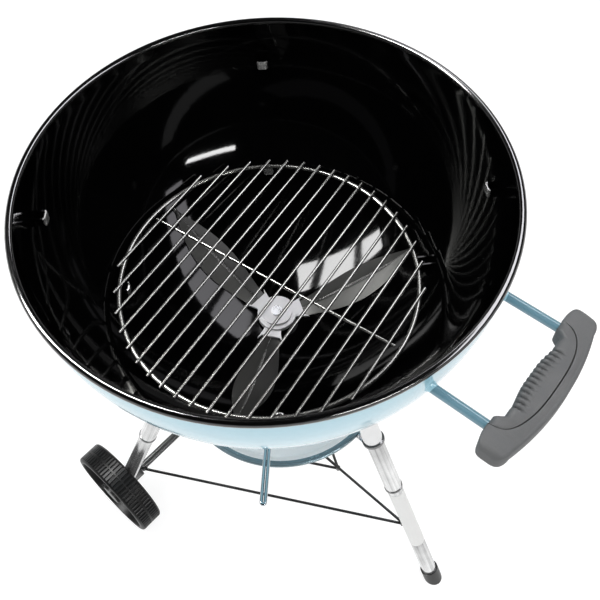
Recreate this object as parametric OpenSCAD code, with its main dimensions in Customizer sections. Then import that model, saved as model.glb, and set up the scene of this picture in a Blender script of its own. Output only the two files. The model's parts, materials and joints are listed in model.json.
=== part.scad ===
// Three-legged kettle charcoal grill, lid and cooking grate taken off.
// The origin is on the floor, on the vertical axis of the bowl. +Z is up.
// +X points to the side handle and the leg without a wheel. The wheel axle runs along Y.

/* [Bowl] */
// Height of the top of the rim above the floor
rim_height = 770; // [750:5:790]
// Outer radius of the round bowl
bowl_r = 284.5; // [280:0.5:288]
// Thickness of the bowl's steel wall
bowl_wall = 1.6; // [1.4:0.1:2]
// Radius of the rolled bead round the rim
bead_r = 4.5; // [4:0.1:5]
// Distance from the bowl axis to the middle of the bead
bead_ring_r = 282.5; // [281:0.5:284]

/* [Grate tabs] */
// Depth of the cooking grate's seat below the rim
cooking_seat_depth = 58; // [50:1:70]
// Depth of the charcoal grate's seat below the rim
charcoal_seat_depth = 191; // [185:1:195]
// Width of a tab along the wall
tab_w = 14; // [10:1:18]
// Thickness of the tab's strap
tab_t = 2; // [1.5:0.5:3]

/* [Charcoal grate] */
// Radius of the circle on which the rods end
rod_end_r = 199.5; // [196:0.5:202]
// Radius of the supporting ring, at the middle of its wire
ring_r = 193; // [190:0.5:195]
// Distance between two rods
rod_pitch = 22.2; // [20:0.1:23.5]
// Diameter of a rod
rod_d = 4; // [3:0.5:5]
// Diameter of the ring's wire
ring_d = 6; // [5:0.5:7]
// Angle of the cross rod about the bowl axis
grate_angle = 9.6; // [0:0.1:20]

/* [Ash sweeper] */
// Plan radius where a blade ends
blade_tip_r = 194; // [180:1:196]
// Plan radius where a blade starts
blade_root_r = 30; // [28:1:34]
// Thickness of a blade
blade_t = 1.4; // [1:0.1:2]
// Angle of the lever, from the front leg
lever_angle = -50.5; // [-60:0.5:-45]
// Plan radius of the middle of the lever's end bend
lever_r = 256; // [230:1:258]

/* [Legs] */
// Distance from the bowl axis to a leg's axis at the floor
foot_r = 330; // [326:1:334]
// Lean of a leg from the vertical
leg_lean = 23.5; // [23:0.1:24]
// Height of the lower end of a leg socket
socket_low_h = 345; // [330:1:360]
// Height of the joint between upper and lower leg tube
joint_h = 241; // [230:1:255]

/* [Wheels] */
// Outer radius of a wheel
wheel_r = 81.5; // [79:0.5:84]
// Width of a wheel
wheel_w = 40; // [38:1:41]
// Distance from the bowl's middle plane to the middle of a wheel
wheel_y = 264.5; // [264:0.5:268]
// Distance of the axle behind the bowl axis
axle_back = 149; // [146:1:152]
// Diameter of the axle
axle_d = 10; // [8:1:12]

/* [Ash pan] */
// Height of the top of the pan's flange
pan_h = 330; // [326:1:334]
// Outer radius of the pan's rolled flange
pan_r = 156.5; // [152:0.5:157]
// Depth of the pan
pan_depth = 42; // [36:1:44]

/* [Brace] */
// Height of the wire brace
brace_h = 118; // [116:1:124]
// Distance from the bowl axis to a corner of the brace's outer triangle
outer_corner_r = 254.5; // [250:0.5:260]
// Distance from the bowl axis to a corner of the brace's inner triangle
inner_corner_r = 117; // [110:1:130]
// Diameter of the brace's wire
brace_d = 4.5; // [4:0.5:6]

/* [Handle] */
// Height of the handle's arms
handle_h = 722; // [712:1:726]
// Angle of the handle, from the front leg
handle_angle = 3.3; // [0:0.1:5]
// Distance from the handle's middle to each arm
arm_y = 69; // [66:1:72]
// Diameter of an arm
arm_d = 11; // [10:0.5:12]

/* [Hidden] */

round_fn = 96;
e = 0.05;                                  // running clearance, on the radius
far = 1000;

bowl_cz = rim_height - bead_r;             // height of the bowl's centre
bowl_in = bowl_r - bowl_wall;              // inner radius of the bowl
bowl_low = bowl_cz - bowl_r;               // height of the bowl's lowest point
bowl_floor = bowl_low + bowl_wall;         // height of the lowest point inside

front = 0;
left = 240;
right = 120;
leg_angles = [front, left, right];
blade_angles = [60, 180, 300];
cooking_tab_angles = [51, 135.5, 221, 315];
charcoal_tab_angles = [50, 136, 225, 315];

// Vents under each blade: plan radius and length of each slot
vent_slots = [[62, 20], [88, 28], [114, 32], [140, 26]];
vent_w = 15;

charcoal_seat_h = rim_height - charcoal_seat_depth;
cooking_seat_h = rim_height - cooking_seat_depth;
seat_gap = 0.3;                            // air under the loose grate, at rest
ring_h = charcoal_seat_h + ring_d / 2 + seat_gap;
rod_h = ring_h + ring_d / 2 + rod_d / 2 - 0.1;
cross_rod_h = rod_h - rod_d + 0.1;
rods_each_side = 8;
grate_shift = [-2.2, -6];                  // the loose grate lies a little off the middle

pivot_d = 10;
hub_plate_h = bowl_floor + 5.8;
hub_plate_t = 3;
lever_h = bowl_low - 9;
lever_wire_d = 4;
lever_half_gap = 2.8;

socket_od = 29;
upper_od = 26.4;
lower_od = 24;
tube_wall = 1.2;
lower_top_h = 290;
upper_top_h = 500;
wheel_tube_end_h = 112;
foot_tube_start = 12;

bracket_gap = 4;                           // air between bracket and wheel web
web_y = 6;                                 // the wheel web's inner face, from the wheel's middle
boss_len = 34;

bar_x = 360;                               // the handle's cross bar
bend_r = 14;
grip_half = 97;

// Height of a sphere about the bowl's centre, at one plan radius
function sphere_h(radius, r) = bowl_cz - sqrt(radius * radius - r * r);
// Distance along a leg from the floor, for a height
function along(h) = h / cos(leg_lean);

// Turns a child from the front leg's place to each angle
module at(angles) {
    for (a = angles)
        rotate([0, 0, a]) children();
}

// Puts a child on a leg's axis, with Z up along the leg
module on_leg(angle) {
    rotate([0, 0, angle]) translate([foot_r, 0, 0]) rotate([0, -leg_lean, 0]) children();
}

module ring(outer_d, inner_d, h, $fn = round_fn) {
    difference() {
        cylinder(d = outer_d, h = h);
        translate([0, 0, -1]) cylinder(d = inner_d, h = h + 2);
    }
}

module bowl_ball(radius) {
    translate([0, 0, bowl_cz]) sphere(r = radius, $fn = round_fn);
}

// ---- Bowl ----

module slot_outline(length, width) {
    square([width, length - width], center = true);
    for (side = [-1, 1])
        translate([0, side * (length - width) / 2]) circle(d = width, $fn = 32);
}

module bowl() {
    color("lightblue") difference() {
        translate([0, 0, bowl_cz]) rotate_extrude($fn = round_fn) {
            difference() {
                intersection() {
                    circle(r = bowl_r, $fn = round_fn);
                    translate([0, -bowl_r]) square([bowl_r, bowl_r]);
                }
                circle(r = bowl_in, $fn = round_fn);
            }
            translate([bead_ring_r, 0]) circle(r = bead_r, $fn = 32);
        }
        translate([0, 0, bowl_low - 1]) cylinder(d = pivot_d + 0.16, h = 5, $fn = round_fn);
        at(blade_angles) for (s = vent_slots)
            translate([s[0], 0, bowl_low - 1]) linear_extrude(90) slot_outline(s[1], vent_w);
    }
}

// A bent strap welded to the wall, with a level top
module wall_tab(seat_h, reach_r, drop) {
    length = 60;
    intersection() {
        translate([reach_r, tab_w / 2, seat_h - drop]) rotate([90, 0, 0]) linear_extrude(tab_w)
            difference() {
                square([length, drop]);
                translate([tab_t, tab_t]) square([length, drop - 2 * tab_t]);
            }
        bowl_ball(bowl_in);
    }
}

module cooking_grate_tabs() {
    color("black") at(cooking_tab_angles) wall_tab(cooking_seat_h, 262, 12);
}

module charcoal_grate_tabs() {
    color("black") at(charcoal_tab_angles) wall_tab(charcoal_seat_h, 187, 11);
}

// ---- Legs ----

module leg_socket(angle) {
    color("silver") difference() {
        on_leg(angle) translate([0, 0, along(socket_low_h)])
            ring(socket_od, upper_od + 2 * e, along(bowl_cz - socket_low_h));
        bowl_ball(bowl_r);
    }
}

module leg_socket_front() { leg_socket(front); }
module leg_socket_left() { leg_socket(left); }
module leg_socket_right() { leg_socket(right); }

module socket_collars() {
    color("dimgray") for (a = leg_angles)
        on_leg(a) translate([0, 0, along(socket_low_h) - 4]) ring(33, upper_od + 2 * e, 4);
}

module upper_leg(angle) {
    color("silver") difference() {
        on_leg(angle) translate([0, 0, along(joint_h)])
            ring(upper_od, lower_od + 2 * e, along(upper_top_h - joint_h));
        bowl_ball(bowl_r + 1);
    }
}

module upper_leg_front() { upper_leg(front); }
module upper_leg_left() { upper_leg(left); }
module upper_leg_right() { upper_leg(right); }

module leg_joint_rings() {
    color("gray") for (a = leg_angles)
        on_leg(a) translate([0, 0, along(joint_h) - 3]) ring(28, lower_od + 2 * e, 3);
}

module lower_leg(angle, start) {
    color("gainsboro") on_leg(angle) translate([0, 0, start])
        ring(lower_od, lower_od - 2 * tube_wall, along(lower_top_h) - start);
}

module lower_leg_front() { lower_leg(front, foot_tube_start); }
module lower_leg_left() { lower_leg(left, along(wheel_tube_end_h)); }
module lower_leg_right() { lower_leg(right, along(wheel_tube_end_h)); }

// A plastic cap over the end of the front leg, cut level with the floor
module foot_cap() {
    cap_d = 29;
    cap_top = along(24.4);
    color("black") intersection() {
        on_leg(front) difference() {
            translate([0, 0, -20]) cylinder(d = cap_d, h = 20 + cap_top, $fn = round_fn);
            translate([0, 0, foot_tube_start]) cylinder(d = lower_od + 2 * e, h = 40, $fn = round_fn);
        }
        translate([foot_r - 50, -50, 0]) cube([100, 100, 60]);
    }
}

// ---- Axle and brackets, made for the left side and mirrored ----

module to_side(side) {
    if (side == "left") children();
    else mirror([0, 1, 0]) children();
}

module at_axle(y) {
    translate([-axle_back, -y, wheel_r]) rotate([90, 0, 0]) children();
}

module axle_bracket(side) {
    boss_d = 26;
    boss_outer_y = wheel_y - web_y - bracket_gap;
    plug_d = lower_od - 2 * tube_wall - 2 * e;
    color("black") to_side(side) difference() {
        union() {
            at_axle(boss_outer_y - boss_len) cylinder(d = boss_d, h = boss_len, $fn = round_fn);
            hull() {
                on_leg(left) translate([0, 0, along(wheel_tube_end_h) - 6])
                    cylinder(d = lower_od, h = 6, $fn = 32);
                at_axle(boss_outer_y - boss_len + 3) cylinder(d = boss_d - 2, h = boss_len - 8, $fn = 32);
            }
            on_leg(left) translate([0, 0, along(wheel_tube_end_h) - 1])
                cylinder(d = plug_d, h = 36, $fn = round_fn);
        }
        at_axle(boss_outer_y - boss_len - 5) cylinder(d = axle_d + 2 * e, h = boss_len + 10, $fn = round_fn);
    }
}

module axle_bracket_left() { axle_bracket("left"); }
module axle_bracket_right() { axle_bracket("right"); }

hub_outer_y = wheel_y + 14;                // end of the wheel's hub, from the middle plane
axle_end_y = hub_outer_y + 4;

module axle() {
    color("black") at_axle(-axle_end_y) cylinder(d = axle_d, h = 2 * axle_end_y, $fn = round_fn);
}

module axle_washers() {
    color("silver") for (side = ["left", "right"]) to_side(side)
        at_axle(wheel_y - web_y - 3) ring(20, axle_d + 2 * e, 2);
}

module axle_push_nuts() {
    color("silver") for (side = ["left", "right"]) to_side(side)
        at_axle(hub_outer_y + 0.5) ring(19, axle_d + 2 * e, 2.5);
}

// ---- Wheels ----

// One half of the wheel's section: distance from the axle, place across the wheel
module wheel_outline() {
    bore = axle_d / 2 + e;
    half = wheel_w / 2;
    tread = wheel_r;
    well = wheel_r - 13;
    polygon([[bore, -web_y], [well, -web_y], [well + 3, -half], [tread - 3, -half], [tread, 3 - half],
        [tread, -1.2], [tread - 1.2, 0], [tread, 1.2],
        [tread, half - 3], [tread - 3, half], [well + 4, half], [well + 1, -2], [17, -2], [15, 14], [bore, 14]]);
}

module wheel(side) {
    spoke_count = 8;
    color("dimgray") to_side(side) at_axle(wheel_y) {
        rotate_extrude($fn = round_fn) wheel_outline();
        for (i = [0 : spoke_count - 1]) rotate([0, 0, i * 360 / spoke_count])
            translate([15, -1.5, -2.2]) cube([wheel_r - 26.5, 3, 12]);
    }
}

module wheel_left() { wheel("left"); }
module wheel_right() { wheel("right"); }

module hub_cap(side) {
    color("gray") to_side(side) at_axle(wheel_y) difference() {
        translate([0, 0, 11]) cylinder(d = 36, h = 9, $fn = round_fn);
        translate([0, 0, 10]) cylinder(r = 16.2, h = 8.5, $fn = round_fn);
    }
}

module hub_cap_left() { hub_cap("left"); }
module hub_cap_right() { hub_cap("right"); }

// ---- Brace and ash pan ----

spoke_h = brace_h + brace_d - 0.4;         // the spokes are welded on top of the two triangles

// A level wire from one plan point to another, cut back at both ends
module brace_wire(from, to, h, cut_back) {
    run = to - from;
    length = norm(run) - 2 * cut_back;
    translate([from[0], from[1], h]) rotate([0, 0, atan2(run[1], run[0])])
        translate([cut_back, 0, 0]) rotate([0, 90, 0]) cylinder(d = brace_d, h = length, $fn = 32);
}

function corner(r, a) = [r * cos(a), r * sin(a)];

module weld_nugget(r, a) {
    rotate([0, 0, a]) translate([r, 0, brace_h - 2]) cylinder(d = 7, h = spoke_h - brace_h + 4, $fn = 32);
}

// The front leg's spoke runs back to the triangle's far side; short stubs reach the other two legs
module wire_brace() {
    into_leg = foot_r - spoke_h * tan(leg_lean) - 5;
    back = -outer_corner_r / 2;
    color("black") difference() {
        union() {
            brace_wire([back - 4, 0], corner(into_leg, front), spoke_h, 1);
            weld_nugget(back, 0);
            weld_nugget(-inner_corner_r / 2, 0);
            for (a = [left, right])
                brace_wire(corner(outer_corner_r - 8, a), corner(into_leg, a), spoke_h, 1);
            for (a = leg_angles) {
                brace_wire(corner(outer_corner_r, a), corner(outer_corner_r, a + 120), brace_h, 2);
                brace_wire(corner(inner_corner_r, a), corner(inner_corner_r, a + 120), brace_h, 2);
                weld_nugget(outer_corner_r, a);
                weld_nugget(inner_corner_r, a);
            }
        }
        for (a = leg_angles) on_leg(a) cylinder(d = lower_od, h = 400, $fn = round_fn);
    }
}

// A hook on each leg that holds the pan's flange
module pan_clips() {
    clip_w = 14;
    color("silver") difference() {
        at(leg_angles) translate([pan_r - 6, -clip_w / 2, pan_h - 8.4]) {
            cube([30, clip_w, 2]);
            translate([7.5, 0, 0]) cube([2, clip_w, 14]);
        }
        for (a = leg_angles) on_leg(a) cylinder(d = upper_od, h = 800, $fn = round_fn);
    }
}

module ash_pan() {
    wall = 1.2;
    bead = 3;
    floor_r = 127;
    dish_r = 148;
    rim = pan_r - bead;
    color("lightslategray") translate([0, 0, pan_h]) rotate_extrude($fn = round_fn) {
        polygon([[0, -pan_depth], [floor_r, -pan_depth], [dish_r, -bead - wall], [rim, -bead - wall],
            [rim, -bead], [dish_r - wall, -bead], [floor_r - wall, wall - pan_depth], [0, wall - pan_depth]]);
        translate([rim, -bead]) circle(r = bead, $fn = 32);
    }
}

// ---- Handle ----

module on_handle() {
    rotate([0, 0, handle_angle]) translate([0, 0, handle_h]) children();
}

module handle_rod(d) {
    for (side = [-1, 1]) {
        translate([240, side * arm_y, 0]) rotate([0, 90, 0])
            cylinder(d = d, h = bar_x - bend_r - 240, $fn = round_fn);
        translate([bar_x - bend_r, side * (arm_y - bend_r), 0]) mirror([0, side < 0 ? 1 : 0, 0])
            rotate_extrude(angle = 90, $fn = round_fn) translate([bend_r, 0]) circle(d = d, $fn = 48);
    }
    translate([bar_x, bend_r - arm_y, 0]) rotate([-90, 0, 0])
        cylinder(d = d, h = 2 * (arm_y - bend_r), $fn = round_fn);
}

module handle_frame() {
    color("lightblue") difference() {
        on_handle() handle_rod(arm_d);
        bowl_ball(bowl_r + 2.5);
    }
}

module handle_weld_pads() {
    color("lightblue") difference() {
        intersection() {
            on_handle() for (side = [-1, 1])
                translate([200, side * arm_y, 0]) rotate([0, 90, 0]) cylinder(d = 32, h = 120, $fn = round_fn);
            bowl_ball(bowl_r + 2.5);
        }
        bowl_ball(bowl_r);
    }
}

// Plan outline of the grip: bulging outer edge, hollow inner edge between two horns
module grip_outline(shrink = 0) {
    outer_arc_r = 290;
    intersection() {
        translate([383 - outer_arc_r, 0]) circle(r = outer_arc_r - shrink, $fn = 180);
        difference() {
            polygon([for (side = [-1, 1]) each let (s = side) side < 0
                ? [[344 + shrink, shrink - grip_half], [339 + shrink, -91], [335.5 + shrink, -77], [335.5 + shrink, -60],
                    [344.5 + shrink, -49]]
                : [[344.5 + shrink, 49], [335.5 + shrink, 60], [335.5 + shrink, 77], [339 + shrink, 91],
                    [344 + shrink, grip_half - shrink], [361, grip_half - shrink], [372, 88], [400, 80],
                    [400, -80], [372, -88], [361, shrink - grip_half]]]);
        }
    }
    translate([440 - 100, 0]) intersection() {
        translate([60 + shrink, 0]) circle(r = 60, $fn = round_fn);
        translate([0, -30]) square([20, 60]);
    }
}

module grip_upper() {
    color("slategray") on_handle() difference() {
        translate([0, 0, 0.1]) linear_extrude(15) intersection() {
            grip_outline(1);
            translate([368 - 260, 0]) circle(r = 260, $fn = 180);
        }
        handle_rod(arm_d + 2 * e);
    }
}

module grip_lower() {
    color("gray") on_handle() difference() {
        union() {
            translate([0, 0, -17]) linear_extrude(17) grip_outline();
            linear_extrude(11) difference() {
                grip_outline();
                translate([368.6 - 260, 0]) circle(r = 260, $fn = 180);
            }
        }
        handle_rod(arm_d + 2 * e);
        for (y = [-30, 30]) translate([352, y, -18]) cylinder(d = 9, h = 6, $fn = round_fn);
    }
}

module grip_screws() {
    color("silver") on_handle() for (y = [-30, 30])
        translate([352, y, -15.5]) difference() {
            cylinder(d = 8, h = 3.5, $fn = round_fn);
            translate([-3, -0.6, -1]) cube([6, 1.2, 2.4]);
            translate([-0.6, -3, -1]) cube([1.2, 6, 2.4]);
        }
}

// ---- Ash sweeper ----

module sweeper_hub() {
    arm_start = 14;
    arm_end = 36;
    prong = 42;
    color("whitesmoke") difference() {
        translate([0, 0, hub_plate_h]) {
            cylinder(d = 53, h = 7, $fn = round_fn);
            translate([0, 0, 6]) cylinder(d = 42, h = 5, $fn = round_fn);
            at(blade_angles) linear_extrude(hub_plate_t) polygon([[arm_start, -10], [arm_end - 7, -12.5],
                [prong, -17], [arm_end, -13], [arm_end, 13], [prong, 17], [arm_end - 7, 12.5], [arm_start, 10]]);
        }
        translate([0, 0, hub_plate_h - 1]) cylinder(d = pivot_d + 2 * e, h = 30, $fn = round_fn);
    }
}

module sweeper_bolt() {
    shaft_low = bowl_low - 26;
    head_low = hub_plate_h + 11;
    color("silver") {
        translate([0, 0, shaft_low]) cylinder(d = pivot_d, h = head_low + 1 - shaft_low, $fn = round_fn);
        translate([0, 0, head_low]) cylinder(d = 15, h = 2.5, $fn = round_fn);
    }
}

module sweeper_washer() {
    color("silver") translate([0, 0, bowl_floor + 0.5])
        ring(24, pivot_d + 2 * e, hub_plate_h - bowl_floor - 0.5);
}

module sweeper_nut() {
    color("silver") translate([0, 0, bowl_low - 23.5]) difference() {
        cylinder(d = 19, h = 8, $fn = 6);
        translate([0, 0, -1]) cylinder(d = pivot_d + 2 * e, h = 10, $fn = round_fn);
    }
}

module lever_wire(extra = 0) {
    rotate([0, 0, lever_angle]) translate([0, 0, lever_h]) {
        for (side = [-1, 1]) translate([9, side * lever_half_gap, 0]) rotate([0, 90, 0])
            cylinder(d = lever_wire_d + extra, h = lever_r - 9, $fn = 48);
        translate([lever_r, 0, 0]) rotate([0, 0, -90]) rotate_extrude(angle = 180, $fn = round_fn)
            translate([lever_half_gap, 0]) circle(d = lever_wire_d + extra, $fn = 48);
    }
}

module sweeper_lever() {
    color("silver") difference() {
        lever_wire();
        translate([0, 0, lever_h - 10]) cylinder(d = pivot_d + 2, h = 20, $fn = round_fn);
    }
}

module lever_boss() {
    color("silver") difference() {
        translate([0, 0, bowl_low - 15.5]) cylinder(d = 34, h = 15, $fn = round_fn);
        translate([0, 0, bowl_low - 20]) cylinder(d = pivot_d + 2 * e, h = 30, $fn = round_fn);
        lever_wire(2 * e);
    }
}

// Leaf outline: half the blade's width at a share of its length from 0 to 1
function blade_half(u) = max(2.5, 12 * (1 - u) + 20 * sin(180 * pow(u, 1.25)));
// How far the blade's edges stand off the bowl
blade_edge_lift = 1;
blade_flat_r = 36;                         // the blade stays flat under the hub's arm up to here
// How far the fold along the middle stands above the edges
function blade_fold(r) = r < blade_flat_r ? 0.4
    : 0.4 + 8 * sin(180 * pow((r - blade_flat_r) / (blade_tip_r - blade_flat_r), 0.7));
function blade_point(r, y, lift) = [r, y, sphere_h(bowl_in - lift, norm([r, y]))];

blade_steps = 20;

// The blade's six section points at each station, bottom left, fold and right, then top
blade_points = [for (i = [0 : blade_steps])
    let (u = i / blade_steps, r = blade_root_r + u * (blade_tip_r - blade_root_r),
        half = blade_half(u), low = blade_edge_lift, fold = low + blade_fold(r))
        each [blade_point(r, -half, low), blade_point(r, 0, fold), blade_point(r, half, low),
            blade_point(r, half, low + blade_t), blade_point(r, 0, fold + blade_t),
            blade_point(r, -half, low + blade_t)]];

blade_last = 6 * blade_steps;
blade_faces = concat(
    [for (i = [0 : blade_steps - 1], k = [0 : 5]) let (a = 6 * i + k, b = 6 * i + (k + 1) % 6)
        each [[a, b, b + 6], [a, b + 6, a + 6]]],
    [[0, 5, 4], [0, 4, 1], [1, 4, 3], [1, 3, 2]],
    [for (t = [[0, 4, 5], [0, 1, 4], [1, 3, 4], [1, 2, 3]]) [for (k = t) k + blade_last]]);

module sweeper_blade(angle) {
    color("dimgray") rotate([0, 0, angle]) polyhedron(points = blade_points, faces = blade_faces);
}

module sweeper_blade_1() { sweeper_blade(blade_angles[0]); }
module sweeper_blade_2() { sweeper_blade(blade_angles[1]); }
module sweeper_blade_3() { sweeper_blade(blade_angles[2]); }

// ---- Charcoal grate ----

module grate_ring() {
    color("lightgray") translate([each grate_shift, ring_h]) rotate_extrude($fn = round_fn)
        translate([ring_r, 0]) circle(d = ring_d, $fn = 32);
}

module grate_rods() {
    color("lightgray") translate(grate_shift) rotate([0, 0, grate_angle])
        for (i = [-rods_each_side : rods_each_side]) {
            half = sqrt(pow(rod_end_r, 2) - pow(i * rod_pitch, 2));
            translate([i * rod_pitch, -half, rod_h]) rotate([-90, 0, 0]) cylinder(d = rod_d, h = 2 * half, $fn = 32);
        }
}

module grate_cross_rod() {
    half = 185;
    color("lightgray") translate(grate_shift) rotate([0, 0, grate_angle]) translate([-half, 0, cross_rod_h])
        rotate([0, 90, 0]) cylinder(d = rod_d, h = 2 * half, $fn = 32);
}

bowl();
cooking_grate_tabs();
charcoal_grate_tabs();
leg_socket_front();
leg_socket_left();
leg_socket_right();
socket_collars();
upper_leg_front();
upper_leg_left();
upper_leg_right();
leg_joint_rings();
lower_leg_front();
lower_leg_left();
lower_leg_right();
foot_cap();
axle_bracket_left();
axle_bracket_right();
axle();
axle_washers();
axle_push_nuts();
wire_brace();
pan_clips();
handle_frame();
handle_weld_pads();
grip_upper();
grip_lower();
grip_screws();
sweeper_hub();
sweeper_bolt();
sweeper_washer();
sweeper_nut();
lever_boss();
sweeper_lever();
sweeper_blade_1();
sweeper_blade_2();
sweeper_blade_3();
wheel_left();
wheel_right();
hub_cap_left();
hub_cap_right();
grate_ring();
grate_rods();
grate_cross_rod();
ash_pan();
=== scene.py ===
import json
import math

import bmesh
import bpy
from mathutils import Euler, Matrix, Vector


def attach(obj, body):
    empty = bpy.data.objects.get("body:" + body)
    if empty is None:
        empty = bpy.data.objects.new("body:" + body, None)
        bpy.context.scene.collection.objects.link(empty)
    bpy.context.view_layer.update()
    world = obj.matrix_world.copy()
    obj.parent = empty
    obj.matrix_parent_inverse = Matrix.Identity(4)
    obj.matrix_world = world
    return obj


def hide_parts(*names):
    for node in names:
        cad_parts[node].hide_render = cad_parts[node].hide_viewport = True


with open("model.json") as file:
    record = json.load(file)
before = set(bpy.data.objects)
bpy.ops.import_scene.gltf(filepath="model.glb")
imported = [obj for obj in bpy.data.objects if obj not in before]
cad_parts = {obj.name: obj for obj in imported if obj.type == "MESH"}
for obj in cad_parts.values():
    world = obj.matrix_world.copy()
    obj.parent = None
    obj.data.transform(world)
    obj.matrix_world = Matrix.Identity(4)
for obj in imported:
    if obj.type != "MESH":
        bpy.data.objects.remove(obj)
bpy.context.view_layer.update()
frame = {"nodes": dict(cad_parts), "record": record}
nodes = frame["nodes"]
record = frame["record"]
MM = 0.001
LEG_LEAN = math.radians(23.5)
scene = bpy.context.scene
scene.view_settings.view_transform = "Standard"
scene.view_settings.look = "None"

# ---- Camera ----

cam = bpy.data.cameras.new("camera")
cam.lens = 50.127
cam.sensor_width = 36
cam.shift_x = 0.0031
cam.shift_y = -0.0954
camera = bpy.data.objects.new("camera", cam)
camera.location = (0.44686, -0.40170, 1.48116)
camera.rotation_euler = Euler([math.radians(a) for a in (35.976, 1.606, 42.606)])
scene.collection.objects.link(camera)
scene.camera = camera


# ---- Materials ----

COAT_ROUGH = 0.03


def tree(name):
    """A new material, its node tree, its Principled shader and a function that adds nodes."""
    mat = bpy.data.materials.new(name)
    mat.use_nodes = True
    nt = mat.node_tree
    shader = next(n for n in nt.nodes if n.type == "BSDF_PRINCIPLED")

    def add(kind, **inputs):
        n = nt.nodes.new("ShaderNode" + kind)
        for k, v in inputs.items():
            k = k.replace("_", " ")
            if k in n.inputs:
                n.inputs[k].default_value = v
        return n
    return mat, nt, shader, add


def surface(name, base, *, metallic, rough, vary=0.06, rough_vary=0.05, grain=300, grain_stretch=(1, 1, 1),
            bump=0.1, bump_depth=0.0002, blotch=9, specular=0.5, coat=0.0, second=None, turned=(0, 0, 0)):
    """A procedural surface: colour, roughness and bump all vary with noise at two scales.

    The fine grain is stretched and turned to run along a piece. The colour goes from base to second.
    """
    mat, nt, shader, add = tree(name)
    link = nt.links.new
    coords = add("TexCoord")
    mapping = add("Mapping")
    mapping.vector_type = "TEXTURE"
    mapping.inputs["Scale"].default_value = [1 / v for v in grain_stretch]
    mapping.inputs["Rotation"].default_value = [math.radians(v) for v in turned]
    link(coords.outputs["Object"], mapping.inputs["Vector"])
    fine = add("TexNoise", Scale=grain, Detail=3.0, Roughness=0.55)
    link(mapping.outputs["Vector"], fine.inputs["Vector"])
    broad = add("TexNoise", Scale=blotch, Detail=4.0, Roughness=0.6)
    link(coords.outputs["Object"], broad.inputs["Vector"])

    # The two noises are mixed, two parts fine to three parts broad
    both = add("Math")
    both.operation = "MULTIPLY_ADD"
    both.inputs[1].default_value = 0.4
    link(fine.outputs["Fac"], both.inputs[0])
    blotch_part = add("Math")
    blotch_part.operation = "MULTIPLY"
    blotch_part.inputs[1].default_value = 0.6
    link(broad.outputs["Fac"], blotch_part.inputs[0])
    link(blotch_part.outputs[0], both.inputs[2])

    colour = add("ValToRGB")
    dark = [c * (1 - vary) for c in base]
    light = [min(1, c * (1 + vary)) for c in (second or base)]
    colour.color_ramp.elements[0].position = 0.35
    colour.color_ramp.elements[1].position = 0.65
    colour.color_ramp.elements[0].color = (*dark, 1)
    colour.color_ramp.elements[1].color = (*light, 1)
    link(both.outputs[0], colour.inputs["Fac"])
    link(colour.outputs["Color"], shader.inputs["Base Color"])

    roughness = add("MapRange")
    roughness.inputs["From Min"].default_value = 0.3
    roughness.inputs["From Max"].default_value = 0.7
    roughness.inputs["To Min"].default_value = max(0.01, rough - rough_vary)
    roughness.inputs["To Max"].default_value = rough + rough_vary
    link(both.outputs[0], roughness.inputs["Value"])
    link(roughness.outputs["Result"], shader.inputs["Roughness"])

    lumps = add("Bump")
    lumps.inputs["Strength"].default_value = bump
    lumps.inputs["Distance"].default_value = bump_depth
    link(fine.outputs["Fac"], lumps.inputs["Height"])
    link(lumps.outputs["Normal"], shader.inputs["Normal"])
    shader.inputs["Metallic"].default_value = metallic
    shader.inputs["Specular IOR Level"].default_value = specular
    shader.inputs["Coat Weight"].default_value = coat
    shader.inputs["Coat Roughness"].default_value = COAT_ROUGH
    return mat


enamel_blue = surface("enamel_blue", (0.34, 0.58, 0.68), metallic=0, rough=0.12, second=(0.35, 0.59, 0.69),
                      vary=0.02, rough_vary=0.03, grain=160, bump=0.05, bump_depth=0.0004, coat=0.3)
enamel_black = surface("enamel_black", (0.0008, 0.0008, 0.0009), metallic=0, rough=0.055, rough_vary=0.02,
                       vary=0.3, grain=140, bump=0.05, bump_depth=0.0003, specular=0.16)
bead_black = surface("bead_black", (0.0012, 0.0012, 0.0013), metallic=0, rough=0.12, rough_vary=0.03,
                     vary=0.3, grain=140, bump=0.05, bump_depth=0.0003, specular=0.8, coat=0.6)
leg_metal = surface("leg_metal", (0.74, 0.74, 0.74), metallic=0.85, rough=0.18, vary=0.07, rough_vary=0.04,
                    grain=400, grain_stretch=(1, 1, 0.03), bump=0.06, bump_depth=0.0001)


def leg_look(name, azimuth):
    """Polished tube with streaks that run along one leg: painted reflections, dark and light, laid along the
    polish grain.
    """
    return surface(name, (0.34, 0.34, 0.34), metallic=0.85, rough=0.14, second=(0.84, 0.84, 0.84), vary=0.04,
                   rough_vary=0.05, grain=230, grain_stretch=(1, 1, 0.02), bump=0.05, bump_depth=0.0001,
                   turned=(0, -math.degrees(LEG_LEAN), azimuth))


leg_looks = {side: leg_look("leg_metal_" + side, azimuth)
             for side, azimuth in (("front", 0), ("left", -120), ("right", 120))}
zinc = surface("zinc", (0.62, 0.63, 0.65), metallic=0.9, rough=0.3, vary=0.12, rough_vary=0.1, grain=500,
               blotch=60, bump=0.1)
wire_nickel = surface("wire_nickel", (0.215, 0.215, 0.205), metallic=0.92, rough=0.24, vary=0.05,
                      rough_vary=0.06, grain=400, grain_stretch=(1, 0.08, 1), blotch=25, bump=0.02)
lever_chrome = surface("lever_chrome", (0.50, 0.55, 0.58), metallic=1, rough=0.07, vary=0.02, rough_vary=0.03,
                       grain=300, blotch=30, bump=0.02)
blade_steel = surface("blade_steel", (0.052, 0.052, 0.050), metallic=0.85, rough=0.46, vary=0.05,
                      rough_vary=0.05, grain=45, blotch=22, bump=0.01)
hub_metal = surface("hub_metal", (0.50, 0.50, 0.51), metallic=0.35, rough=0.34, vary=0.03, rough_vary=0.06,
                    grain=500, blotch=60, bump=0.1)
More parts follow.
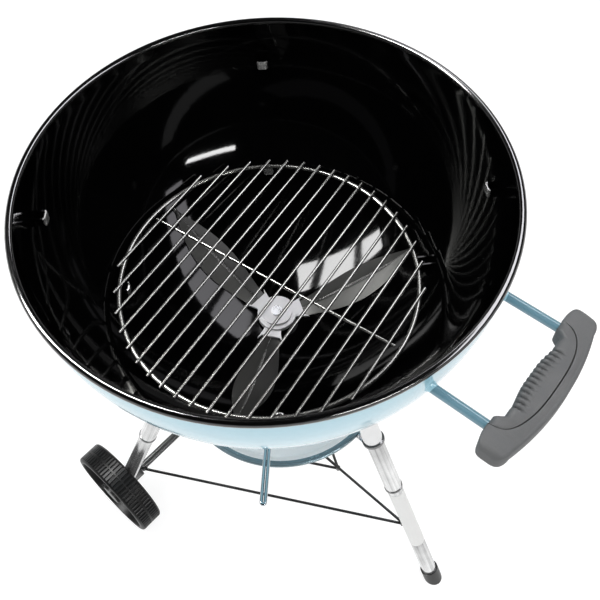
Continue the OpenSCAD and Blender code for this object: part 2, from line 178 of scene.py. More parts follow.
black_plastic = surface("black_plastic", (0.012, 0.012, 0.012), metallic=0, rough=0.4, vary=0.15,
                        rough_vary=0.08, grain=900, blotch=40, bump=0.15)
grip_nylon = surface("grip_nylon", (0.092, 0.095, 0.098), metallic=0, rough=0.6, vary=0.06, rough_vary=0.07,
                     grain=1400, blotch=30, bump=0.25, bump_depth=0.00015, second=(0.108, 0.109, 0.110),
                     specular=0.3)
# Painted light: near-white copies of the pan's metal for its floor and wall, standing in for light falling
# there
pan_floor_painted_light = surface("pan_floor_painted_light", (0.97, 0.97, 0.97), metallic=0.0, rough=0.45, vary=0.03, rough_vary=0.05,
                    grain=350, blotch=14, bump=0.05)
pan_wall_painted_light = surface("pan_wall_painted_light", (0.95, 0.96, 0.96), metallic=0.0, rough=0.4, vary=0.05, rough_vary=0.05,
                   grain=350, blotch=14, bump=0.05)
# The flange's dark blue-grey is painted shade and a painted reflection of the blue bowl above it
pan_metal = surface("pan_metal", (0.22, 0.29, 0.32), metallic=0.6, rough=0.25, vary=0.04, rough_vary=0.05,
                    grain=350, blotch=14, bump=0.05)
wheel_plastic = surface("wheel_plastic", (0.0025, 0.0025, 0.0026), metallic=0, rough=0.42, vary=0.2,
                        rough_vary=0.08, grain=800, blotch=35, bump=0.15, specular=0.22)
wire_black = surface("wire_black", (0.003, 0.003, 0.003), metallic=0, rough=0.3, vary=0.2, rough_vary=0.08,
                     grain=500, blotch=30, bump=0.1, coat=0.3)
label_paper = surface("label_paper", (0.80, 0.80, 0.79), metallic=0, rough=0.5, vary=0.02, rough_vary=0.05,
                      grain=1500, blotch=70, bump=0.1)

# The handle's arms are the bowl's blue enamel; this darker copy is painted shade on them
arm_blue_painted_shade = surface("arm_blue_painted_shade", (0.12, 0.24, 0.30), metallic=0, rough=0.14, second=(0.135, 0.255, 0.315),
                   vary=0.03, rough_vary=0.03, grain=160, bump=0.05, bump_depth=0.0003, coat=0.3)
tab_steel = surface("tab_steel", (0.75, 0.75, 0.74), metallic=0.85, rough=0.25, vary=0.06, rough_vary=0.06,
                    grain=500, blotch=60, bump=0.04)
collar_metal = surface("collar_metal", (0.20, 0.20, 0.20), metallic=0.9, rough=0.2, vary=0.06,
                       rough_vary=0.06, grain=500, blotch=60, bump=0.04)

# A node takes its own look if it has one here, and else the look of its slot
NODE_LOOKS = {"wire_brace": wire_black, "axle": wire_black, "socket_collars": collar_metal,
              "leg_joint_rings": collar_metal, "handle_frame": arm_blue_painted_shade}
SLOT_LOOKS = {
    "enamel_blue": enamel_blue, "enamel_black": enamel_black, "leg_metal": leg_metal, "zinc": zinc,
    "wire_nickel": wire_nickel, "lever_chrome": lever_chrome, "blade_steel": blade_steel,
    "hub_metal": hub_metal, "black_plastic": black_plastic, "grip_nylon": grip_nylon, "pan_metal": pan_metal,
    "wheel_plastic": wheel_plastic,
}

SLOT_OF = {row["node"]: row["material_slot"] for row in record["subparts"]}
for name, obj in nodes.items():
    obj.data.materials.clear()
    tube = leg_looks.get(name.rsplit("_", 1)[-1]) if name.startswith(("upper_leg", "lower_leg")) else None
    obj.data.materials.append(tube or NODE_LOOKS.get(name) or SLOT_LOOKS[SLOT_OF[name]])

# The bowl is black inside and over its rim bead, and blue outside
bowl = nodes["bowl"]
bowl.data.materials.append(enamel_black)
bowl.data.materials.append(bead_black)
BOWL_LOOK_INSIDE, BOWL_LOOK_BEAD = 1, 2
RIM_R = 282.5
BEAD_REACH = 4.6
BOWL_Z = 765.5
BOWL_OUT = 284.5
BOWL_IN = 282.9
for face in bowl.data.polygons:
    c = face.center / MM
    off_bead = math.hypot(math.hypot(c.x, c.y) - RIM_R, c.z - BOWL_Z)
    if off_bead < BEAD_REACH:
        face.material_index = BOWL_LOOK_BEAD
    elif (c - Vector((0, 0, BOWL_Z))).length < (BOWL_IN + BOWL_OUT) / 2:
        face.material_index = BOWL_LOOK_INSIDE

# The ash pan is one metal. It is lightest on its floor and wall, where the near-white is painted light. It is
# darker on its flange, where the blue-grey is painted shade and a painted reflection of the blue bowl.
PAN_PAINTED_LIGHT_FLOOR, PAN_PAINTED_LIGHT_WALL = 1, 2
PAN_FLOOR_R = 124
PAN_WALL_R = 150
PAN_WALL_TOP = 326
pan = nodes["ash_pan"]
pan.data.materials.append(pan_floor_painted_light)
pan.data.materials.append(pan_wall_painted_light)
for face in pan.data.polygons:
    c = face.center / MM
    r = math.hypot(c.x, c.y)
    if face.normal.z > 0.7 and r < PAN_FLOOR_R:
        face.material_index = PAN_PAINTED_LIGHT_FLOOR
    elif c.z < PAN_WALL_TOP and r < PAN_WALL_R:
        face.material_index = PAN_PAINTED_LIGHT_WALL


# ---- Mesh helpers ----

def piece(name, mesh, body, mat, replaced=(), smooth=None):
    """A visible piece on one body. It may replace CAD nodes; smooth is the sharp-edge angle."""
    obj = bpy.data.objects.new(name, mesh)
    scene.collection.objects.link(obj)
    mesh.materials.append(mat)
    if smooth:
        shade(mesh, smooth)
    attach(obj, body)
    if replaced:
        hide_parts(*replaced)
    return obj


def shade(mesh, degrees):
    """Smooth shading, except across edges sharper than this."""
    mesh.polygons.foreach_set("use_smooth", [True] * len(mesh.polygons))
    mesh.set_sharp_from_angle(angle=math.radians(degrees))


def to_mesh(name, bm):
    """Turns a finished bmesh into a mesh."""
    mesh = bpy.data.meshes.new(name)
    bm.to_mesh(mesh)
    bm.free()
    return mesh


def loft(name, rings, closed_u=False):
    """A mesh through rings of points, each ring a closed loop of the same length.

    With closed_u the last ring meets the first; otherwise both ends are capped.
    """
    bm = bmesh.new()
    made = [[bm.verts.new(p) for p in ring] for ring in rings]
    count = len(made[0])
    pairs = list(zip(made, made[1:])) + ([(made[-1], made[0])] if closed_u else [])
    for a, b in pairs:
        for i in range(count):
            j = (i + 1) % count
            bm.faces.new((a[i], a[j], b[j], b[i]))
    if not closed_u:
        bm.faces.new(reversed(made[0]))
        bm.faces.new(made[-1])
    bmesh.ops.remove_doubles(bm, verts=bm.verts, dist=1e-6)
    bmesh.ops.dissolve_degenerate(bm, edges=bm.edges, dist=1e-7)
    bmesh.ops.recalc_face_normals(bm, faces=bm.faces)
    return to_mesh(name, bm)


def smoothstep(x, low, high):
    """0 below low, 1 above high and a smooth rise between."""
    t = min(1, max(0, (x - low) / (high - low)))
    return t * t * (3 - 2 * t)


# ---- Grip ----

# In the handle's frame X points outwards, Y runs along the grip and Z is the height above the arms
HANDLE_Z = 722
HANDLE_TURN = math.radians(3.3)
HANDLE = Matrix.Translation((0, 0, HANDLE_Z * MM)) @ Matrix.Rotation(HANDLE_TURN, 4, "Z")
# The shell is the lower half. Its outer edge is an arc, and its inner edge has a horn round each arm
GRIP_HALF = 97.0
GRIP_LOW = -17
SHELL_TOP = 12.6
SHELL_TOP_DROP = 2.2
END_ROUND = 7
OUTER_R = 290
OUTER_CENTRE_X = 93
OUTER_END_Y = 80
OUTER_END_X = 359.7
OUTER_END_REACH = 12
INNER_X = 343
HOLLOW = 3.8
HORN_X = 338.2
HORN_END_Y = 77
HORN_ROUND = 9
# The insert is the upper half. It lies in a seat in the shell, with a narrow gap between them
INSERT_INNER_X = 338
INSERT_WIDTH = 33
INSERT_HALF = 72
INSERT_POWER = 2.6
INSERT_END_Y = 71.6
INSERT_TOP = 15.0
INSERT_TOP_DROP = 1.6
INSERT_GAP = 0.9
SEAT_END_Y = 71.8
# Finger grooves across the insert's inner edge; the half count is in pitches
GROOVE_PITCH = 6.5
GROOVE_SHIFT = 3
GROOVE_DEPTH = 5.6
GROOVES_HALF_COUNT = 6.5


def grip_outer(y):
    """The grip's outer edge in plan: one long arc, rounded off at both ends."""
    y = abs(y)
    if y < OUTER_END_Y:
        return OUTER_CENTRE_X + math.sqrt(OUTER_R ** 2 - y * y)
    t = min(1, (y - OUTER_END_Y) / (GRIP_HALF - OUTER_END_Y))
    return OUTER_END_X + OUTER_END_REACH * math.sqrt(1 - t * t)


def grip_inner(y):
    """The grip's inner edge: a gentle bulge between two hollows, with a horn round each arm."""
    y = abs(y)
    if y > HORN_END_Y:
        t = min(1, (y - HORN_END_Y) / (GRIP_HALF - HORN_END_Y))
        return HORN_X + HORN_ROUND * (1 - math.sqrt(1 - t * t))
    hollow_x = INNER_X + HOLLOW * smoothstep(y, 12, 44)
    return hollow_x - (INNER_X + HOLLOW - HORN_X) * smoothstep(y, 54, 62)


def insert_edge(y):
    """The upper half's outer edge: the parting line on top."""
    y = min(1, abs(y) / INSERT_HALF)
    return INSERT_INNER_X + INSERT_WIDTH * (1 - y ** INSERT_POWER) ** (1 / INSERT_POWER)


def crown(y):
    """How far the top and the underside draw in near the two ends."""
    over = max(0, abs(y) - (GRIP_HALF - END_ROUND))
    return END_ROUND - math.sqrt(max(0, END_ROUND ** 2 - over * over))


def corner_arc(cx, cz, r, start, end, steps=5):
    """Points on an arc about one centre, from one angle to another, in degrees."""
    return [(cx + r * math.cos(math.radians(start + (end - start) * i / steps)),
             cz + r * math.sin(math.radians(start + (end - start) * i / steps))) for i in range(steps + 1)]


def finger_groove(y):
    """Depth share, 0 to 1, of the finger grooves at one place along the grip."""
    phase = (y + GROOVE_SHIFT) / GROOVE_PITCH
    if abs(phase) > GROOVES_HALF_COUNT:
        return 0
    across = abs(2 * ((phase + 0.5) % 1) - 1)
    return 1 - (1 - (1 - across) ** 1.7) ** (1 / 1.7)


def grip_top_rings():
    """Sections of the upper half along Y: rounded inner edge with finger grooves, thin outer edge."""
    rings = []
    steps = 640
    for k in range(steps + 1):
        y = -INSERT_END_Y + 2 * INSERT_END_Y * k / steps
        a, b = grip_inner(y) + 0.2, insert_edge(y)
        width = max(0.6, b - a)
        r_in = min(7.5, width * 0.48)
        r_out = min(0.9, width * 0.2)
        top = INSERT_TOP - 3.0 * smoothstep(abs(y), 40, INSERT_HALF)
        floor = 0.15
        loop = [(a, floor), (a, top - r_in - 1)]
        loop += corner_arc(a + r_in, top - r_in, r_in, 180, 90, 10)
        for i in range(1, 9):
            u = i / 9
            x = a + r_in + (b - r_out - a - r_in) * u
            loop.append((x, top - INSERT_TOP_DROP * u * u))
        loop += corner_arc(b - r_out, top - INSERT_TOP_DROP - r_out, r_out, 90, 0, 3)
        loop.append((b, floor))
        ring = []
        groove = finger_groove(y)
        for x, z in loop:
            reach = 1 - smoothstep(x, a + 4, a + 17)
            if z > 1:
                sink = GROOVE_DEPTH * groove * reach
                shoulder = max(0, min(1, (x - a) / r_in))
                z -= sink * shoulder
                x += sink * (1 - shoulder)
            ring.append(HANDLE @ Vector((x * MM, y * MM, z * MM)))
        rings.append(ring)
    return rings


def grip_bottom_rings():
    """Sections of the lower half along Y: a body with a seat for the upper half, closed at both ends."""
    rings = []
    steps = 240
    for k in range(steps + 1):
        y = GRIP_HALF * math.sin(math.pi * (k / steps - 0.5))
        end_in = crown(y)
        a, b = grip_inner(y), grip_outer(y)
        covered = abs(y) < SEAT_END_Y
        seat = insert_edge(y) + INSERT_GAP if covered else a
        lip = SHELL_TOP - 1.2 * smoothstep(abs(y), 40, 70) - end_in
        low = GRIP_LOW + end_in
        top_in = max(lip - 0.8, 0)
        r = 4.5
        shelf = 0.0 if covered else lip - 3.0
        loop = [(a, low + 3), (a, shelf)]
        if covered:
            loop += [(seat, shelf), (seat, top_in)]
            loop += corner_arc(seat + 0.8, top_in, 0.8, 180, 90, 4)
        else:
            # Two spare points, so that every section has the same number
            loop += [(a, shelf), (a, shelf)]
            loop += corner_arc(a + 3, lip - 3, 3, 180, 90, 4)
        start = loop[-1]
        end_top = (b - r, lip - SHELL_TOP_DROP)
        for i in range(1, 8):
            u = i / 8
            loop.append((start[0] + (end_top[0] - start[0]) * u,
                         start[1] + (end_top[1] - start[1]) * u * u))
        loop += corner_arc(b - r, lip - SHELL_TOP_DROP - r, r, 90, 10, 6)
        loop += corner_arc(b - r, low + 4, 4, -10, -90, 5)
        loop += corner_arc(a + 4, low + 4, 4, -90, -180, 5)
        rings.append([HANDLE @ Vector((x * MM, y * MM, z * MM)) for x, z in loop])
    return rings


piece("grip_insert", loft("grip_insert", grip_top_rings()), "stand", grip_nylon,
      ["grip_upper"], smooth=45)

SCREW_X = 352
SCREW_Y = 30
SCREW_R = 4.5
SCREW_DEPTH = 5


def screw_holes(mesh):
    """Cuts the two screw recesses out of the grip's underside."""
    host = bpy.data.objects.new("host", mesh)
    scene.collection.objects.link(host)
    cutters = []
    for y in (-SCREW_Y, SCREW_Y):
        bm = bmesh.new()
        place = HANDLE @ Matrix.Translation((SCREW_X * MM, y * MM, GRIP_LOW * MM))
        bmesh.ops.create_cone(bm, cap_ends=True, segments=40, radius1=SCREW_R * MM, radius2=SCREW_R * MM,
                              depth=2 * SCREW_DEPTH * MM, matrix=place)
        cutter = bpy.data.objects.new("cutter", to_mesh("cutter", bm))
        scene.collection.objects.link(cutter)
        mod = host.modifiers.new("hole", "BOOLEAN")
        mod.operation = "DIFFERENCE"
        mod.solver = "EXACT"
        mod.object = cutter
        cutters.append(cutter)
    dg = bpy.context.evaluated_depsgraph_get()
    result = bpy.data.meshes.new_from_object(host.evaluated_get(dg))
    for o in [host, *cutters]:
        bpy.data.objects.remove(o)
    return result


piece("grip_shell", screw_holes(loft("grip_shell", grip_bottom_rings())), "stand",
      grip_nylon, ["grip_lower"], smooth=40)

# ---- Wheels ----

WHEEL_R = 81.5
WHEEL_Z = 81.5
WHEEL_X = -149.0
WHEEL_Y = 264.5
TREAD_RIBS = 76
RIB_DEPTH = 2.4
# Each of the two rows of ribs lies between these distances from the tread's middle
ROW_FROM, ROW_TO = 1.3, 16.7
SPOKES = 8


def wheel_mesh(name):
    """Lathe profile (radius, place along the axle), with grooves pressed across the tread in two rows."""
    profile = [(5.05, -6), (30, -6), (60, -6), (66.5, -6.8), (68.3, -9), (69.5, -14), (71.3, -19.2),
               (72.3, -20), (77.2, -20), (79.0, -19.5), (80.4, -18.4), (81.2, -17.0)]
    row = [(WHEEL_R, s) for s in (-16.6, -16.0, -12, -8, -4, -2.2, -1.6)]
    profile += row + [(WHEEL_R, -1.2), (WHEEL_R, -0.9), (WHEEL_R, 0.9), (WHEEL_R, 1.2)]
    profile += [(r, -s) for r, s in reversed(row)]
    profile += [(81.2, 17.0), (80.4, 18.4), (79.0, 19.5), (77.2, 20), (72.8, 20), (71.8, 19.2), (71.0, 14),
                (70.0, 4), (69.0, -1.2), (66.5, -2), (40, -2), (17.3, -2), (16.7, -1), (15.3, 12.6),
                (14.6, 14), (5.05, 14)]
    per_rib = 5
    count = TREAD_RIBS * per_rib
    rings = []
    for j in range(count):
        angle = 2 * math.pi * j / count
        pressed = 1.0 if j % per_rib in (0, 1) else 0.0
        ring = []
        for r, s in profile:
            if ROW_FROM < abs(s) < ROW_TO and r == WHEEL_R:
                edge = smoothstep(abs(s), ROW_FROM, 2.2) * (1 - smoothstep(abs(s), 15.9, ROW_TO))
                r -= RIB_DEPTH * pressed * edge
            ring.append(Vector((r * math.cos(angle) * MM, r * math.sin(angle) * MM, s * MM)))
        rings.append(ring)
    return loft(name, rings, closed_u=True)


def add_spokes(mesh):
    """Tapering ribs on the outer side of the web, joined to the wheel's mesh."""
    bm = bmesh.new()
    bm.from_mesh(mesh)
    for i in range(SPOKES):
        turn = Matrix.Rotation(2 * math.pi * i / SPOKES, 4, "Z")
        corners = []
        # Radius, half width and height of the rib at three places
        for x, half_w, top in ((15.5, 2.4, 11.0), (40, 1.7, 6.5), (69.6, 2.2, 8.0)):
            for w, z in ((-half_w, -3.0), (-half_w + 0.3, top), (half_w - 0.3, top), (half_w, -3.0)):
                corners.append(bm.verts.new(turn @ Vector((x * MM, w * MM, z * MM))))
        faces = []
        for k in (0, 4):
            near, far = corners[k:k + 4], corners[k + 4:k + 8]
            for a in range(4):
                b = (a + 1) % 4
                faces.append(bm.faces.new((near[a], near[b], far[b], far[a])))
        faces.append(bm.faces.new(corners[3::-1]))
        faces.append(bm.faces.new(corners[8:12]))
        bmesh.ops.recalc_face_normals(bm, faces=faces)
        edges = {e for f in faces for e in f.edges}
        bmesh.ops.bevel(bm, geom=list(edges), offset=0.5 * MM, segments=2, affect="EDGES",
                        clamp_overlap=True)
    bm.to_mesh(mesh)
    bm.free()


for side, sign in (("left", -1), ("right", 1)):
    mesh = wheel_mesh("wheel_" + side)
    add_spokes(mesh)
    place = Matrix.Translation((WHEEL_X * MM, sign * WHEEL_Y * MM, WHEEL_Z * MM))
    mesh.transform(place @ Matrix.Rotation(-sign * math.pi / 2, 4, "X"))
    piece("tyre_" + side, mesh, "wheel_" + side, wheel_plastic, ["wheel_" + side],
          smooth=35)

# ---- Sweeper blades ----

BLADE_T = 0.8
BLADE_GAP = 1.0  # between the blade's edges and the bowl
BLADE_ROOT_R = 30
BLADE_TIP_R = 194
BLADE_FLAT_R = 36
BLADE_ROOT_HALF = 12
BLADE_BULGE = 20
BLADE_TIP_HALF = 2.5
FOLD_H = 8
CREASE_H = 0.8
# Half width of the painted highlight along the crease
CREASE_HIGHLIGHT_HALF = 0.05  # as a share of the blade's half width


def sphere_h(radius, r):
    """Height of a sphere about the bowl's centre, at one plan radius."""
    return BOWL_Z - math.sqrt(radius * radius - r * r)


def blade_half(u):
    """Half the blade's width at a share of its length from 0 to 1."""
    return max(BLADE_TIP_HALF, BLADE_ROOT_HALF * (1 - u) + BLADE_BULGE * math.sin(math.pi * u ** 1.25))


def blade_rings(angle):
    """A pressed leaf: it follows the bowl and stands up along a crease in the middle."""
    across = [-1, -0.96, -0.8, -0.6, -0.4, -0.2, -0.07, -0.03, 0, 0.03, 0.07, 0.2, 0.4, 0.6, 0.8, 0.96, 1]
    rings = []
    steps = 90
    turn = Matrix.Rotation(math.radians(angle), 4, "Z")
    for k in range(steps + 1):
        u = k / steps
        r = BLADE_ROOT_R + u * (BLADE_TIP_R - BLADE_ROOT_R)
        half = blade_half(u)
        share = max(0, r - BLADE_FLAT_R) / (BLADE_TIP_R - BLADE_FLAT_R)
        fold = 0.4 + FOLD_H * math.sin(math.pi * share ** 0.7)
        crease = CREASE_H * smoothstep(u, 0.02, 0.1) * (1 - smoothstep(u, 0.85, 0.98))
        top, bottom = [], []
        for v in across:
            y = v * half
            h = BLADE_GAP + fold * (1 - abs(v)) + crease * max(0, 1 - abs(v) / 0.06)
            h += 0.25 * (1 - abs(v) ** 3)
            for side, lift in ((top, h + BLADE_T), (bottom, h)):
                z = sphere_h(BOWL_IN - lift, math.hypot(r, y))
                side.append(turn @ Vector((r * MM, y * MM, z * MM)))
        rings.append(bottom + top[::-1])
    return rings


for number, angle in ((1, 60), (2, 180), (3, 300)):
    blade = piece(f"blade_{number}", loft(f"blade_{number}", blade_rings(angle)), "sweeper",
                  blade_steel, [f"sweeper_blade_{number}"], smooth=28)
    blade.data.materials.append(tab_steel)
    # The top of the crease takes the bright steel look: a painted highlight along the ridge
    along = Vector((math.cos(math.radians(angle)), math.sin(math.radians(angle)), 0))
    for face in blade.data.polygons:
        c = face.center
        u = (c.dot(along) / MM - BLADE_ROOT_R) / (BLADE_TIP_R - BLADE_ROOT_R)
        if abs(along.cross(c).z) < CREASE_HIGHLIGHT_HALF * blade_half(min(1, max(0, u))) * MM and face.normal.z > 0.2:
            face.material_index = 1

# ---- Grate tabs: strips bent to a U and welded to the wall by both ends ----

TAB_W = 14.0
TAB_T = 2.0
TAB_CORNER = 3.0
TAB_ROOT = BOWL_IN + 0.7  # how far the strips' ends reach from the bowl's centre, into its wall


def u_path(reach, half, corner):
    """Plan path of the bent strip's face, from one end round to the other: (radial, tangential)."""
    turns = [(reach + corner + corner * math.cos(math.radians(a)), sign * (half - corner)
              + corner * math.sin(math.radians(a)))
             for sign, span in ((-1, range(270, 179, -15)), (1, range(180, 89, -15))) for a in span]
    return [(None, -half)] + turns + [(None, half)]


def tab_mesh(name, seat, reach, drop, angles):
    """One U-shaped strip at each angle: top at the seat's height, inner face at the plan radius reach."""
    bm = bmesh.new()
    for angle in angles:
        turn = Matrix.Rotation(math.radians(angle), 4, "Z")
        outer = u_path(reach, TAB_W / 2, TAB_CORNER)
        inner = u_path(reach + TAB_T, TAB_W / 2 - TAB_T, TAB_CORNER - TAB_T)
        columns = []
        for path in (outer, inner):
            for z in (seat - drop, seat - drop + 0.4, seat - 0.4, seat):
                row = []
                for x, y in path:
                    if x is None:
                        x = math.sqrt(TAB_ROOT ** 2 - (BOWL_Z - z) ** 2 - y * y)
                    row.append(bm.verts.new(turn @ (Vector((x, y, z)) * MM)))
                columns.append(row)
        ring = columns[:4] + columns[:3:-1]
        faces = []
        for k in range(8):
            a, b = ring[k], ring[(k + 1) % 8]
            for i in range(len(a) - 1):
                faces.append(bm.faces.new((a[i], a[i + 1], b[i + 1], b[i])))
        faces.append(bm.faces.new([row[0] for row in ring]))
        faces.append(bm.faces.new([row[-1] for row in reversed(ring)]))
        bmesh.ops.recalc_face_normals(bm, faces=faces)
    return to_mesh(name, bm)


upper_tabs = tab_mesh("grate_tabs_upper", seat=712, reach=262, drop=12, angles=(51, 135.5, 221, 315))
lower_tabs = tab_mesh("grate_tabs_lower", seat=579, reach=187, drop=11, angles=(50, 136, 225, 315))
piece("grate_tabs_upper", upper_tabs, "stand", enamel_black, ["cooking_grate_tabs"],
      smooth=40)
piece("grate_tabs_lower", lower_tabs, "stand", enamel_black, ["charcoal_grate_tabs"],
      smooth=40)
# The part of each strip that lies nearest the bowl's axis is bare steel
for mesh, bare in ((upper_tabs, 265.2), (lower_tabs, 194)):
    mesh.materials.append(tab_steel)
    for face in mesh.polygons:
        if math.hypot(face.center.x, face.center.y) < bare * MM:
            face.material_index = 1

# ---- Weld fillets where the handle's arms meet the bowl ----

ARM_Y = 69
ARM_R = 5.45
FLARE = 2.4
FILLET_ROOT = BOWL_OUT - 0.5  # from the bowl's centre
FILLET_LENGTH = 6
FILLET_SIDES = 40


def fillet_mesh():
    """A flared collar round each arm, from just inside the bowl's outer face outwards."""
    bm = bmesh.new()
    for sign in (-1, 1):
        rings = []
        for k in range(9):
            t = k / 8
            r = ARM_R + FLARE * (1 - t) ** 2.5
            ring = []
            for i in range(FILLET_SIDES):
                a = 2 * math.pi * i / FILLET_SIDES
                y, z = sign * ARM_Y + r * math.cos(a), r * math.sin(a)
                shell = FILLET_ROOT + FILLET_LENGTH * t
                x = math.sqrt(shell ** 2 - y * y - (HANDLE_Z + z - BOWL_Z) ** 2)
                ring.append(bm.verts.new(HANDLE @ (Vector((x, y, z)) * MM)))
            rings.append(ring)
        faces = []
        for a, b in zip(rings, rings[1:]):
            for i in range(FILLET_SIDES):
                j = (i + 1) % FILLET_SIDES
                faces.append(bm.faces.new((a[i], a[j], b[j], b[i])))
        faces.append(bm.faces.new(rings[0]))
        faces.append(bm.faces.new(rings[-1]))
        bmesh.ops.recalc_face_normals(bm, faces=faces)
    return to_mesh("arm_fillets", bm)


piece("arm_fillets", fillet_mesh(), "stand", enamel_blue, ["handle_weld_pads"], smooth=50)

# ---- Lever: one bent wire, both its runs side by side ----

LEVER_ANGLE = -50.5
LEVER_Z = 472.0
WIRE_R = 2.25
RUN_GAP = 2.45  # from the middle line to each run
LEVER_END = 256.0


def lever_mesh():
    """A round wire swept out from the boss, round the end bend and back."""
    path = [Vector((x, -RUN_GAP, 0)) for x in (9, 60, 110, 160, 210, 240)]
    path += [Vector((LEVER_END + RUN_GAP * math.cos(math.radians(a)), RUN_GAP * math.sin(math.radians(a)), 0))
             for a in range(-90, 91, 12)]
    path += [Vector((x, RUN_GAP, 0)) for x in (240, 210, 160, 110, 60, 9)]
    turn = Matrix.Rotation(math.radians(LEVER_ANGLE), 4, "Z")
    rings = []
    for i, p in enumerate(path):
        ahead = (path[min(i + 1, len(path) - 1)] - path[max(i - 1, 0)]).normalized()
        side = Vector((-ahead.y, ahead.x, 0))
        ring = []
        for k in range(24):
            a = 2 * math.pi * k / 24
            v = p + side * (WIRE_R * math.cos(a)) + Vector((0, 0, WIRE_R * math.sin(a)))
            ring.append(turn @ (Vector((v.x, v.y, v.z + LEVER_Z)) * MM))
        rings.append(ring)
    return loft("lever_wire", rings)


piece("lever_wire", lever_mesh(), "sweeper", lever_chrome, ["sweeper_lever"], smooth=50)

# ---- Label on the front leg, left blank ----

FOOT_R = 330
LABEL_HEIGHTS = 103, 229
LABEL_IN_R, LABEL_OUT_R = 12.02, 12.22
LABEL_FROM, LABEL_ROUND = -130, 210  # degrees about the tube
LABEL_CORNER = 4
LEG = Matrix.Translation((FOOT_R * MM, 0, 0)) @ Matrix.Rotation(-LEG_LEAN, 4, "Y")


def label_mesh():
    """A thin sheet wrapped round the tube, with rounded corners."""
    low, high = (h / math.cos(LEG_LEAN) for h in LABEL_HEIGHTS)
    bm = bmesh.new()
    grid = {}
    turns, levels = 40, 30
    for side, r in enumerate((LABEL_IN_R, LABEL_OUT_R)):
        for i in range(turns + 1):
            angle = math.radians(LABEL_FROM + LABEL_ROUND * i / turns)
            for j in range(levels + 1):
                edge = abs(2 * i / turns - 1)
                inset = LABEL_CORNER * max(0, (edge - 0.94) / 0.06) ** 2
                h = low + inset + (high - low - 2 * inset) * j / levels
                point = Vector((r * math.cos(angle), r * math.sin(angle), h)) * MM
                grid[side, i, j] = bm.verts.new(LEG @ point)
    for i in range(turns):
        for j in range(levels):
            bm.faces.new([grid[1, i, j], grid[1, i + 1, j], grid[1, i + 1, j + 1], grid[1, i, j + 1]])
            bm.faces.new([grid[0, i, j], grid[0, i, j + 1], grid[0, i + 1, j + 1], grid[0, i + 1, j]])
    for i in range(turns):
        bm.faces.new([grid[0, i, 0], grid[0, i + 1, 0], grid[1, i + 1, 0], grid[1, i, 0]])
        bm.faces.new([grid[1, i, levels], grid[1, i + 1, levels], grid[0, i + 1, levels], grid[0, i, levels]])
    for j in range(levels):
        bm.faces.new([grid[0, 0, j], grid[1, 0, j], grid[1, 0, j + 1], grid[0, 0, j + 1]])
        bm.faces.new([grid[0, turns, j], grid[0, turns, j + 1], grid[1, turns, j + 1], grid[1, turns, j]])
    bmesh.ops.recalc_face_normals(bm, faces=bm.faces)
    return to_mesh("leg_label", bm)


piece("leg_label", label_mesh(), "stand", label_paper, smooth=40)

# ---- Floor and light ----

FLOOR_DROP = 0.6
floor_mat, floor_nt, floor_shader, floor_add = tree("floor")
floor_noise = floor_add("TexNoise", Scale=3.0, Detail=4.0)
floor_ramp = floor_add("ValToRGB")
floor_ramp.color_ramp.elements[0].color = (0.33, 0.33, 0.33, 1)
floor_ramp.color_ramp.elements[1].color = (0.37, 0.37, 0.37, 1)
floor_nt.links.new(floor_noise.outputs["Fac"], floor_ramp.inputs["Fac"])
floor_nt.links.new(floor_ramp.outputs["Color"], floor_shader.inputs["Base Color"])
floor_shader.inputs["Roughness"].default_value = 0.8
floor_shader.inputs["Specular IOR Level"].default_value = 0.1
floor_shader.inputs["Emission Color"].default_value = (1, 1, 1, 1)
floor_shader.inputs["Emission Strength"].default_value = 0.80
bm = bmesh.new()
bmesh.ops.create_circle(bm, cap_ends=True, segments=96, radius=14)
floor_mesh = to_mesh("floor", bm)
floor = bpy.data.objects.new("floor", floor_mesh)
floor.location = (0, 0, -FLOOR_DROP * MM)
floor_mesh.materials.append(floor_mat)
scene.collection.objects.link(floor)


def area(name, place, turn, size, radiance, colour=(1, 1, 1), mirrored=True):
    """A level softbox facing down, its long side turned about Z.

    It is either mirrored by shiny surfaces or it lights the matt ones. Cycles gives an area light a
    radiance of a quarter of its power over its area.
    """
    data = bpy.data.lights.new(name, "AREA")
    data.shape = "RECTANGLE"
    data.size, data.size_y = size
    data.energy = radiance * 4 * size[0] * size[1]
    data.color = colour
    lamp = bpy.data.objects.new(name, data)
    lamp.location = place
    lamp.rotation_euler = (0, 0, math.radians(turn))
    lamp.visible_camera = False
    lamp.visible_glossy = mirrored
    lamp.visible_diffuse = not mirrored
    scene.collection.objects.link(lamp)


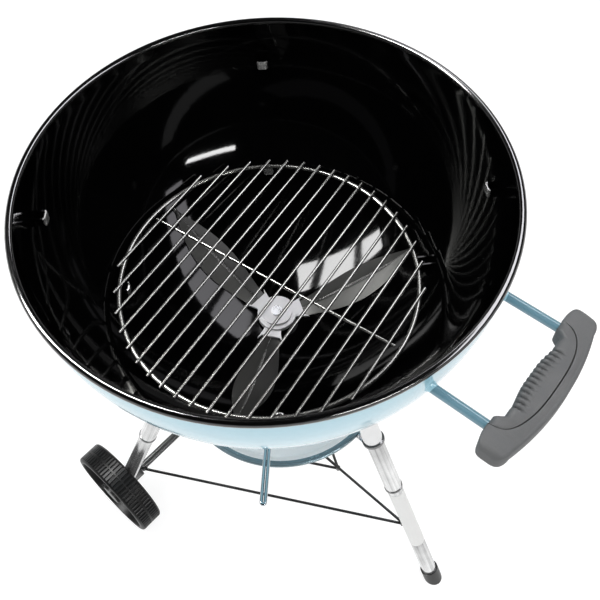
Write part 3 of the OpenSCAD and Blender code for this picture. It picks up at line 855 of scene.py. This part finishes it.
SOFTBOX_Z = 2.09
area("fill_top", (0.3, -0.2, 3.2), 0, (3.2, 3.2), 1.7, mirrored=False)
area("strip_back", (0.88, 0.96, SOFTBOX_Z), -6.8, (3.38, 0.60), 7.0, (0.96, 0.95, 1.0))
area("strip_front", (-1.09, -0.64, SOFTBOX_Z), 48, (1.82, 0.40), 42.0)
area("strip_right", (2.85, -0.54, SOFTBOX_Z), 56.5, (1.60, 0.26), 52.0)

world = bpy.data.worlds.new("world")
scene.world = world
world.use_nodes = True
world_nt = world.node_tree
world_nt.nodes.clear()
world_link = world_nt.links.new


def world_node(kind):
    """A new node in the world's tree."""
    return world_nt.nodes.new("ShaderNode" + kind)


def sky(height, low_at, low, high_at, high):
    """A grey sky that fades from one brightness to another with the height of the direction."""
    ramp = world_node("ValToRGB")
    for stop, at, grey in zip(ramp.color_ramp.elements, (low_at, high_at), (low, high)):
        stop.position = at
        stop.color = (grey, grey, grey, 1)
    background = world_node("Background")
    world_link(height, ramp.inputs["Fac"])
    world_link(ramp.outputs["Color"], background.inputs["Color"])
    return background.outputs["Background"]


def choose(fac, first, second):
    """The second shader for rays of one kind, the first for all others."""
    mix = world_node("MixShader")
    world_link(fac, mix.inputs["Fac"])
    world_link(first, mix.inputs[1])
    world_link(second, mix.inputs[2])
    return mix.outputs["Shader"]


# Shiny surfaces mirror a bright horizon under a dark sky, matt ones are lit by a wider horizon,
# and the camera sees plain pale grey
rays = world_node("LightPath")
direction = world_node("SeparateXYZ")
world_link(world_node("TexCoord").outputs["Generated"], direction.inputs["Vector"])
height = direction.outputs["Z"]
mirrored_sky = sky(height, low_at=0.06, low=0.9, high_at=0.24, high=0.012)
matt_sky = sky(height, low_at=0.2, low=0.9, high_at=0.9, high=0.3)
plain = world_node("Background")
plain.inputs["Color"].default_value = (0.93, 0.93, 0.93, 1)
lit = choose(rays.outputs["Is Diffuse Ray"], mirrored_sky, matt_sky)
seen = choose(rays.outputs["Is Camera Ray"], lit, plain.outputs["Background"])
world_link(seen, world_node("OutputWorld").inputs["Surface"])
